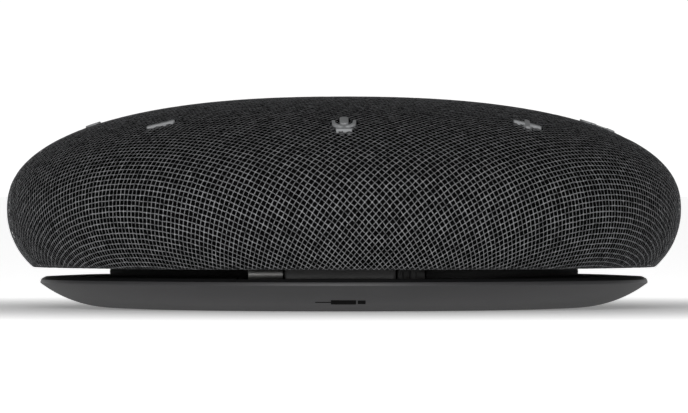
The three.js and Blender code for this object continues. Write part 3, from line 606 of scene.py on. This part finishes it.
relief_outline = [
    (0, 0), (2.6, 0), (2.6, 0.8), (2.2, 1.2), (2.2, 2.2), (2.5, 2.6), (2.4, 3.4), (2, 3.8), (2, 5.2),
    (0, 5.2),
]
sleeve_widening = 1.7  # the sleeve is oval, wider than tall
relief = turned("plug_sleeve", [(r * mm, x * mm) for r, x in relief_outline], steps=48, edge=0.08 * mm)
relief.rotation_euler = (0, math.pi / 2, 0)
relief.location = (relief_low[0], plug_y, lead_z)
relief.scale = (1, sleeve_widening, 1)
settle(relief)
# painted light: the sleeve is coloured about twice as light as the plug body, though it sits in the shade
# of the lip and the dome
sleeve_rubber_painted_light = moulded("sleeve_rubber_painted_light", (0.04,) * 3, (0.05,) * 3, (0.6, 0.75), 5000, 0.02 * mm)
coat(relief, sleeve_rubber_painted_light)
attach(relief, "housing")
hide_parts("plug_relief")

# ---- Lower housing and its screws ----
# The black floor of the dome, with a hump over the plug, posts for the boards, and four screws
# that pull the grille shell down onto it.

coat(cad("lower_housing"), black_plastic)
for i in range(1, 5):
    coat(cad(f"shell_screw_{i}"), screw_steel)

# ---- Main board ----
# A round green board with the processor, the amplifier and the socket that the lead plugs into.
# Copper tracks show through the solder mask.


def board_finish(name, mask, track):
    made, nodes, links, shader = material(name)
    place = nodes.new("ShaderNodeTexCoord")
    bricks = nodes.new("ShaderNodeTexBrick")
    bricks.inputs["Scale"].default_value = 260
    bricks.inputs["Mortar Size"].default_value = 0.035
    bricks.inputs["Brick Width"].default_value = 1.7
    bricks.inputs["Color1"].default_value = (*mask, 1)
    bricks.inputs["Color2"].default_value = (*(c * 0.8 for c in mask), 1)
    bricks.inputs["Mortar"].default_value = (*track, 1)
    links.new(place.outputs["Object"], bricks.inputs["Vector"])
    links.new(bricks.outputs["Color"], shader.inputs["Base Color"])
    fine = speckle(nodes, links, 2500)
    links.new(range_of(nodes, links, fine.outputs["Fac"], 0.35, 0.5), shader.inputs["Roughness"])
    roughen(nodes, links, shader, bricks.outputs["Fac"], 0.02 * mm)
    return made


circuit_board = board_finish("circuit_board", (0.012, 0.085, 0.03), (0.03, 0.15, 0.05))
coat(cad("main_board"), circuit_board)
for name in ("processor_chip", "amplifier_chip", "cable_socket"):
    coat(cad(name), chip_black)

# ---- Microphones ----
# Two capsules in rubber boots behind the cloth at the front, left and right.

for side in ("left", "right"):
    coat(cad(f"mic_boot_{side}"), soft_rubber)
    coat(cad(f"mic_{side}"), screw_steel)

# ---- Loudspeaker ----
# A full-range driver fires up into the top of the dome, on a gasket on the rim of a sealed
# chamber that three screws hold to the housing.

coat(cad("speaker_chamber"), black_plastic)
for i in range(1, 4):
    coat(cad(f"chamber_screw_{i}"), screw_steel)
coat(cad("driver_gasket"), soft_rubber)
for name in ("driver_basket", "driver_yoke", "driver_top_plate"):
    coat(cad(name), steel_plate)
ferrite = moulded("ferrite", (0.02, 0.02, 0.021), (0.032, 0.032, 0.034), (0.6, 0.8), 2600, 0.04 * mm)
coat(cad("driver_magnet"), ferrite)
coat(cad("driver_surround"), soft_rubber)
cone_paper = moulded("cone_paper", (0.018,) * 3, (0.035,) * 3, (0.8, 0.95), 1200, 0.08 * mm, blotch=300)
for name in ("driver_cone", "dust_cap"):
    coat(cad(name), cone_paper)

spider_cloth, nodes, links, shader = material("spider_cloth")
place = nodes.new("ShaderNodeTexCoord")
weave = nodes.new("ShaderNodeTexChecker")
weave.inputs["Scale"].default_value = 2500
weave.inputs["Color1"].default_value = (0.42, 0.26, 0.1, 1)
weave.inputs["Color2"].default_value = (0.3, 0.18, 0.07, 1)
links.new(place.outputs["Object"], weave.inputs["Vector"])
links.new(weave.outputs["Color"], shader.inputs["Base Color"])
shader.inputs["Roughness"].default_value = 0.9
roughen(nodes, links, shader, weave.outputs["Fac"], 0.05 * mm)
coat(cad("driver_spider"), spider_cloth)

coil_copper, nodes, links, shader = material("coil_copper")
place = nodes.new("ShaderNodeTexCoord")
wire = nodes.new("ShaderNodeTexWave")
wire.bands_direction = "Z"
wire.inputs["Scale"].default_value = 1600
links.new(place.outputs["Object"], wire.inputs["Vector"])
links.new(
    ramp_between(nodes, links, wire.outputs["Fac"], (0.3, 0.09, 0.03), (0.6, 0.22, 0.1)),
    shader.inputs["Base Color"],
)
shader.inputs["Metallic"].default_value = 1
shader.inputs["Roughness"].default_value = 0.35
roughen(nodes, links, shader, wire.outputs["Fac"], 0.08 * mm)
coat(cad("voice_coil"), coil_copper)

# ---- Button board, switches and keys ----
# A curved board under the grille shell carries five tact switches. A black key in a sleeve of the
# shell presses each one.

key_names = ("call", "quieter", "mute", "louder", "talk")
key_plastic = moulded("key_plastic", (0.012,) * 3, (0.017,) * 3, (0.42, 0.55), 7000, 0.012 * mm)
coat(cad("button_board"), circuit_board)
for name in key_names:
    coat(cad(f"switch_{name}"), chip_black)
    coat(cad(f"key_{name}"), key_plastic)

# ---- Grille shell ----
# The stiff perforated shell under the cloth, with a sleeve for each key.

coat(cad("grille_shell"), black_plastic)

# ---- Key symbols ----
# Five light grey symbols, moulded in soft plastic on a thin disc. Each rides on its key and
# stands a little proud of the cloth.

cloth_low, cloth_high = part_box("cloth_cover")
dome_radius = cloth_high[0]
dome_top = cloth_high[2]
dome_rim = cloth_low[2]
dome_waist = 19.4 * mm
dome_power = 2.35
dome_curl = 15 * mm


def dome_height(x, y, inset=0.0):
    """Height of the dome over a point of the table, inset further in."""
    share = 1 - (np.hypot(x, y) / (dome_radius - inset)) ** dome_power
    return dome_waist + (dome_top - dome_waist - inset) * share ** (1 / dome_power)


icon_rise = 0.35 * mm
icon_disc_inset = 1.0 * mm
icon_disc_thick = 0.7 * mm
icon_disc_radius = 4.6 * mm
key_circle = 50


def bow(x, y, radius, from_angle, to_angle, width, pieces):
    """A bent stroke, as a chain of short straight ones."""
    ends = [around(radius, a) + (x, y) for a in np.linspace(from_angle, to_angle, pieces + 1)]
    return [(*a, *b, width) for a, b in zip(ends, ends[1:])]


# Each stroke is from x, from y, to x, to y and width, in millimetres about the key's centre.
symbols = {
    "mute": (270, [
        (0, 0.3, 0, 2.6, 1.7), (-2, 0.3, -2, 1.1, 0.62), (2, 0.3, 2, 1.1, 0.62),
        *bow(0, 0.3, 2, 180, 360, 0.62, 9), (0, -1.7, 0, -3.1, 0.62), (-1.25, -3.2, 1.25, -3.2, 0.62),
    ]),
    "quieter": (225, [(-2.2, 0, 2.2, 0, 1)]),
    "louder": (315, [(-2.2, 0, 2.2, 0, 1), (0, -2.2, 0, 2.2, 1)]),
    "call": (180, [
        *bow(3.2, 0, 3.7, 140, 220, 1, 7), (0.5, 2.4, 1.1, 2.9, 1.6), (0.5, -2.4, 1.1, -2.9, 1.6),
    ]),
    "talk": (0, [
        (-2.2, 2.1, 2.2, 2.1, 0.8), (-2.2, -1.3, -0.6, -1.3, 0.8), (-3, 1.3, -3, -0.5, 0.8),
        (3, 1.3, 3, -0.5, 0.8), *bow(-2.2, 1.3, 0.8, 90, 180, 0.8, 4), *bow(2.2, 1.3, 0.8, 0, 90, 0.8, 4),
        *bow(-2.2, -0.5, 0.8, 180, 270, 0.8, 4), *bow(2.2, -0.5, 0.8, 270, 360, 0.8, 4),
        (-0.6, -1.3, -0.9, -2.7, 0.8),
    ]),
}


def stroke_bar(stroke, centre, margin=0.0):
    """One stroke as an upright round-ended bar of unit height, margin wider all round."""
    x0, y0, x1, y1, width = stroke
    length = math.hypot(x1 - x0, y1 - y0) * mm
    bpy.ops.object.select_all(action="DESELECT")
    bpy.ops.mesh.primitive_cylinder_add(vertices=24, radius=width / 2 * mm + margin, depth=1)
    bar = bpy.context.object
    choose(bar, lambda x, y, z: x > 1e-6)
    bpy.ops.transform.translate(value=(length, 0, 0))
    bpy.ops.object.mode_set(mode="OBJECT")
    bar.rotation_euler.z = math.atan2(y1 - y0, x1 - x0)
    bar.location = (centre[0] + x0 * mm, centre[1] + y0 * mm, 0)
    settle(bar)
    return bar


def between_skins(piece, bottom_inset, top_inset):
    """Moves a prism's low and high ends onto two skins of the dome."""
    for v in piece.data.vertices:
        v.co.z = dome_height(v.co.x, v.co.y, bottom_inset if v.co.z < 0 else top_inset)


def united(bars):
    whole, *others = bars
    if others:
        combine(whole, others, "UNION")
    return whole


icon_grey = moulded(
    "icon_grey", (0.3, 0.307, 0.313), (0.33, 0.338, 0.345), (0.5, 0.65), 8000, 0.01 * mm, blotch=200,
)
for name, (angle, strokes) in symbols.items():
    centre = around(key_circle * mm, angle)
    icon = united([stroke_bar(stroke, centre) for stroke in strokes])
    icon.name = f"symbol_{name}"
    between_skins(icon, icon_disc_inset + icon_disc_thick / 2, -icon_rise)
    apply_modifier(icon, "BEVEL", width=0.07 * mm, segments=2, angle_limit=math.radians(50))
    bpy.ops.object.select_all(action="DESELECT")
    bpy.ops.mesh.primitive_cylinder_add(
        vertices=48, radius=icon_disc_radius, depth=1, location=(*centre, 0),
    )
    disc = bpy.context.object
    settle(disc)
    between_skins(disc, icon_disc_inset + icon_disc_thick, icon_disc_inset)
    icon = united([icon, disc])
    alone(icon)
    bpy.ops.object.shade_smooth_by_angle(angle=math.radians(40))
    coat(icon, icon_grey)
    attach(icon, f"{name}_button")
    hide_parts(f"icon_{name}")

# ---- Cloth lining, painted shade ----
# A thin near-black sheet just under the cloth, over the grille shell, with no shine: painted shade that
# shows as the dark ground in the meshes of the cover. It is punched out round each symbol.

lining_inset = 0.44 * mm
lining_thick = 0.1 * mm
hem_radius = dome_radius - 6.9 * mm
symbol_clearance = 0.3 * mm
outline_steps = 600


def dome_outline(inset):
    """Radius and height along the dome's side, from the top to the end of the turned-in hem."""
    turn = np.linspace(math.pi / 2, 0, outline_steps)
    r = (dome_radius - inset) * np.cos(turn) ** (2 / dome_power)
    z = dome_waist + (dome_top - dome_waist - inset) * np.sin(turn) ** (2 / dome_power)
    last = math.asin((dome_waist - dome_rim - inset) / (dome_curl - inset))
    turn = np.linspace(0, last, outline_steps // 4)[1:]
    r = np.append(r, dome_radius - dome_curl + (dome_curl - inset) * np.cos(turn))
    z = np.append(z, dome_waist - (dome_curl - inset) * np.sin(turn))
    hem = np.linspace(r[-1], hem_radius, 20)[1:]
    return np.append(r, hem), np.append(z, np.full(len(hem), z[-1]))


side_r, side_z = dome_outline(0)
side_s = np.append(0, np.cumsum(np.hypot(np.diff(side_r), np.diff(side_z))))
cut_radius = side_s[-1]  # radius of the flat round that the cover is cut to

lining_r, lining_z = dome_outline(lining_inset)
keep = np.unique(np.linspace(0, len(lining_r) - 1, 40).astype(int))
skin = [(lining_r[i], lining_z[i]) for i in keep]
inner_r, inner_z = dome_outline(lining_inset + lining_thick)
skin += [(inner_r[i], inner_z[i]) for i in keep[::-1]]
lining = turned("cloth_lining_painted_shade", skin, steps=96, edge=0)
punches = []
for angle, strokes in symbols.values():
    centre = around(key_circle * mm, angle)
    punches.append(united([stroke_bar(stroke, centre, symbol_clearance) for stroke in strokes]))
combine(lining, punches, "DIFFERENCE")
alone(lining)
bpy.ops.object.shade_smooth_by_angle(angle=math.radians(40))
painted_shade_black = moulded(
    "painted_shade_black", (0.002,) * 3, (0.005,) * 3, (0.9, 1.0), 1500, 0.06 * mm, blotch=900,
)
painted_shade_black.node_tree.nodes["Principled BSDF"].inputs["Specular IOR Level"].default_value = 0
coat(lining, painted_shade_black)
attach(lining, "housing")

# ---- Cloth cover ----
# An open mesh cloth of charcoal polyester, cut round, drawn over the dome with its threads
# slanting across the front, and turned in under the rim. Front and back halves are one cloth.

cell = 1.068 * mm  # from thread to thread
thread_turn = math.radians(50.75)
thread_width = 0.3 * mm
thread_drop = 0.09 * mm  # how far a thread's flanks fall away below its crest
thread_dip = 0.02 * mm  # a thread's crest is this much lower between two crossings
cells_across = 2 * math.ceil(cut_radius / cell + 0.5)

bpy.ops.object.select_all(action="DESELECT")
bpy.ops.mesh.primitive_grid_add(x_subdivisions=2, y_subdivisions=2, size=cell)
cloth = bpy.context.object
cloth.name = "cloth_cover_front"
bpy.ops.object.mode_set(mode="EDIT")
bpy.ops.mesh.select_mode(type="FACE")
bpy.ops.mesh.select_all(action="SELECT")
bpy.ops.mesh.inset(thickness=thread_width / 2)
bpy.ops.mesh.delete(type="FACE")
half_hole = (cell - thread_width) / 2
choose(cloth, lambda x, y, z: (abs(x) < half_hole * 1.01) & (abs(y) < half_hole * 1.01))
bpy.ops.transform.translate(value=(0, 0, -thread_drop))
choose(cloth, lambda x, y, z: (abs(abs(x) - half_hole) < half_hole * 0.01)
       & (abs(abs(y) - half_hole) < half_hole * 0.01))
bpy.ops.transform.resize(value=(0.8, 0.8, 1))
choose(cloth, lambda x, y, z: (z > -thread_drop / 2) & (abs(x * y) < 1e-12))
bpy.ops.transform.translate(value=(0, 0, -thread_dip))
bpy.ops.object.mode_set(mode="OBJECT")
for axis in ((1, 0, 0), (0, 1, 0)):
    apply_modifier(
        cloth, "ARRAY", count=cells_across, use_relative_offset=False, use_constant_offset=True,
        constant_offset_displace=Vector(axis) * cell, use_merge_vertices=True, merge_threshold=0.01 * mm,
    )
cloth.location = (-(cells_across - 1) / 2 * cell, -(cells_across - 1) / 2 * cell, 0)
settle(cloth)

# the threads' own unevenness: crossings out of line, crests higher and lower, meshes of two sizes
chance = np.random.default_rng(7)
count = len(cloth.data.vertices)
co = np.empty(count * 3)
cloth.data.vertices.foreach_get("co", co)
p, q, depth = co.reshape(-1, 3).T
p, q = p / cell, q / cell
half_count = cells_across // 2
shift = chance.normal(0, 0.035, (3, cells_across + 2, cells_across + 2))
size = chance.normal(1, 0.07, (cells_across + 2, cells_across + 2))


def spread(values, p, q):
    """Values held at the crossings, read between them."""
    i, j = np.floor(p + half_count).astype(int), np.floor(q + half_count).astype(int)
    i, j = np.clip(i, 0, cells_across), np.clip(j, 0, cells_across)
    a, b = p + half_count - i, q + half_count - j
    return ((1 - a) * (1 - b) * values[i, j] + a * (1 - b) * values[i + 1, j]
            + (1 - a) * b * values[i, j + 1] + a * b * values[i + 1, j + 1])


in_hole = depth < -thread_drop / 2
cell_p, cell_q = np.floor(p) + 0.5, np.floor(q) + 0.5
grown = size[(cell_p + half_count).astype(int), (cell_q + half_count).astype(int)]
p_bent = np.where(in_hole, cell_p + (p - cell_p) * grown, p) + spread(shift[0], p, q)
q_bent = np.where(in_hole, cell_q + (q - cell_q) * grown, q) + spread(shift[1], p, q)
depth = np.minimum(depth + spread(shift[2], p, q) * mm, 0)

flat_u = (p_bent * math.cos(thread_turn) - q_bent * math.sin(thread_turn)) * cell
flat_v = (p_bent * math.sin(thread_turn) + q_bent * math.cos(thread_turn)) * cell
flat_s = np.hypot(flat_u, flat_v)
outside = flat_s > cut_radius + cell * 0.8
held_s = np.minimum(flat_s, cut_radius)
way_u, way_v = flat_u / np.maximum(flat_s, 1e-9), flat_v / np.maximum(flat_s, 1e-9)
slope_r, slope_z = np.gradient(side_r, side_s), np.gradient(side_z, side_s)
out_r, out_z = -np.interp(held_s, side_s, slope_z), np.interp(held_s, side_s, slope_r)
out_long = np.hypot(out_r, out_z)
r = np.interp(held_s, side_s, side_r) + depth * out_r / out_long
z = np.interp(held_s, side_s, side_z) + depth * out_z / out_long
x, y = r * way_u, r * way_v


def stroke_distance(x, y, stroke, centre):
    x0, y0, x1, y1, width = (value * mm for value in stroke)
    along, across = x1 - x0, y1 - y0
    px, py = x - centre[0] - x0, y - centre[1] - y0
    t = np.clip((px * along + py * across) / max(along**2 + across**2, 1e-12), 0, 1)
    return np.hypot(px - t * along, py - t * across) - width / 2


# cut away round each symbol, the cut edge drawn back to a clean outline
for angle, strokes in symbols.values():
    centre = around(key_circle * mm, angle)
    def gap_to(x, y):
        return np.min([stroke_distance(x, y, stroke, centre) for stroke in strokes], axis=0)
    gap = gap_to(x, y)
    step = 0.01 * mm
    push_x = (gap_to(x + step, y) - gap_to(x - step, y)) / (2 * step)
    push_y = (gap_to(x, y + step) - gap_to(x, y - step)) / (2 * step)
    outside |= gap < -0.1 * mm
    move = np.clip(symbol_clearance - gap, 0, None)
    x, y = x + push_x * move, y + push_y * move

cloth.data.vertices.foreach_set("co", np.stack([x, y, z], 1).ravel())
weave_map = cloth.data.uv_layers.new(name="weave")
bake_map = cloth.data.uv_layers.new(name="OFBake")
corner = np.empty(len(cloth.data.loops), int)
cloth.data.loops.foreach_get("vertex_index", corner)
weave_map.uv.foreach_set("vector", np.stack([p, q], 1)[corner].astype(np.float32).ravel())
flat_place = np.stack([flat_u, flat_v], 1) / (2 * cut_radius + 2 * cell) + 0.5
bake_map.uv.foreach_set("vector", flat_place[corner].astype(np.float32).ravel())
choose(cloth, lambda x, y, z: outside)
bpy.ops.mesh.delete(type="VERT")
alone(cloth)
bpy.ops.object.shade_smooth()

cloth_grey, nodes, links, shader = material("cloth_grey")
at = nodes.new("ShaderNodeUVMap")
at.uv_map = "weave"
crossing = nodes.new("ShaderNodeVectorMath")
crossing.operation = "ADD"
crossing.inputs[1].default_value = (0.5, 0.5, 0)
number = nodes.new("ShaderNodeVectorMath")
number.operation = "FLOOR"
luck = nodes.new("ShaderNodeTexWhiteNoise")
luck.noise_dimensions = "2D"
links.new(at.outputs["UV"], crossing.inputs[0])
links.new(crossing.outputs["Vector"], number.inputs[0])
links.new(number.outputs["Vector"], luck.inputs["Vector"])
within = nodes.new("ShaderNodeVectorMath")
within.operation = "FRACTION"
links.new(crossing.outputs["Vector"], within.inputs[0])
off = nodes.new("ShaderNodeVectorMath")
off.operation = "DISTANCE"
off.inputs[1].default_value = (0.5, 0.5, 0)
links.new(within.outputs["Vector"], off.inputs[0])
# painted highlight: a bright spot on random thread crossings, where the crossing threads would catch the
# light
highlight_spot_mask = scaled(nodes, links, off.outputs["Value"], 0.24, 0.08)
bright = scaled(nodes, links, luck.outputs["Value"], 0.6, 1.0)
painted_knot_highlight = worked(nodes, links, "MULTIPLY", highlight_spot_mask, bright)
fibre = speckle(nodes, links, 5200, 3)
patch = speckle(nodes, links, 700, 2)
tone = nodes.new("ShaderNodeMix")
tone.inputs["Factor"].default_value = 0.45
links.new(fibre.outputs["Fac"], tone.inputs["A"])
links.new(patch.outputs["Fac"], tone.inputs["B"])
thread_colour = ramp_between(
    nodes, links, tone.outputs["Result"], (0.05, 0.0505, 0.0525), (0.33, 0.332, 0.342), 0.35, 0.65,
)
sides = nodes.new("ShaderNodeSeparateXYZ")
links.new(within.outputs["Vector"], sides.inputs["Vector"])
across_x, across_y = (
    worked(nodes, links, "ABSOLUTE", worked(nodes, links, "SUBTRACT", sides.outputs[axis], 0.5))
    for axis in ("X", "Y")
)
off_thread = worked(nodes, links, "MINIMUM", across_x, across_y)
# painted shade: a thread's colour falls to near black down its flanks
painted_flank_shade = scaled(nodes, links, off_thread, 0.035, 0.11, 1.0, 0.04)
shaded = nodes.new("ShaderNodeMix")
shaded.data_type = "RGBA"
shaded.blend_type = "MULTIPLY"
shaded.inputs["Factor"].default_value = 1
links.new(thread_colour, shaded.inputs["A"])
links.new(painted_flank_shade, shaded.inputs["B"])
final = nodes.new("ShaderNodeMix")
final.data_type = "RGBA"
final.inputs["B"].default_value = (0.33, 0.332, 0.342, 1)
links.new(painted_knot_highlight, final.inputs["Factor"])
links.new(shaded.outputs["Result"], final.inputs["A"])
links.new(final.outputs["Result"], shader.inputs["Base Color"])
shader.inputs["Roughness"].default_value = 0.85
shader.inputs["Specular IOR Level"].default_value = 0
roughen(nodes, links, shader, fibre.outputs["Fac"], 0.05 * mm)
coat(cloth, cloth_grey)

# two halves, so that each stays a light mesh
alone(cloth)
bpy.ops.object.duplicate()
back = bpy.context.object
back.name = "cloth_cover_back"
for half, side in ((cloth, 1), (back, -1)):
    alone(half)
    centres = np.empty(len(half.data.polygons) * 3)
    half.data.polygons.foreach_get("center", centres)
    chosen = centres.reshape(-1, 3)[:, 1] * side > 0
    bpy.ops.object.mode_set(mode="EDIT")
    bpy.ops.mesh.select_mode(type="FACE")
    bpy.ops.mesh.select_all(action="DESELECT")
    bpy.ops.object.mode_set(mode="OBJECT")
    half.data.polygons.foreach_set("select", chosen)
    bpy.ops.object.mode_set(mode="EDIT")
    bpy.ops.mesh.delete(type="FACE")
    bpy.ops.object.mode_set(mode="OBJECT")
    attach(half, "housing")
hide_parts("cloth_cover")
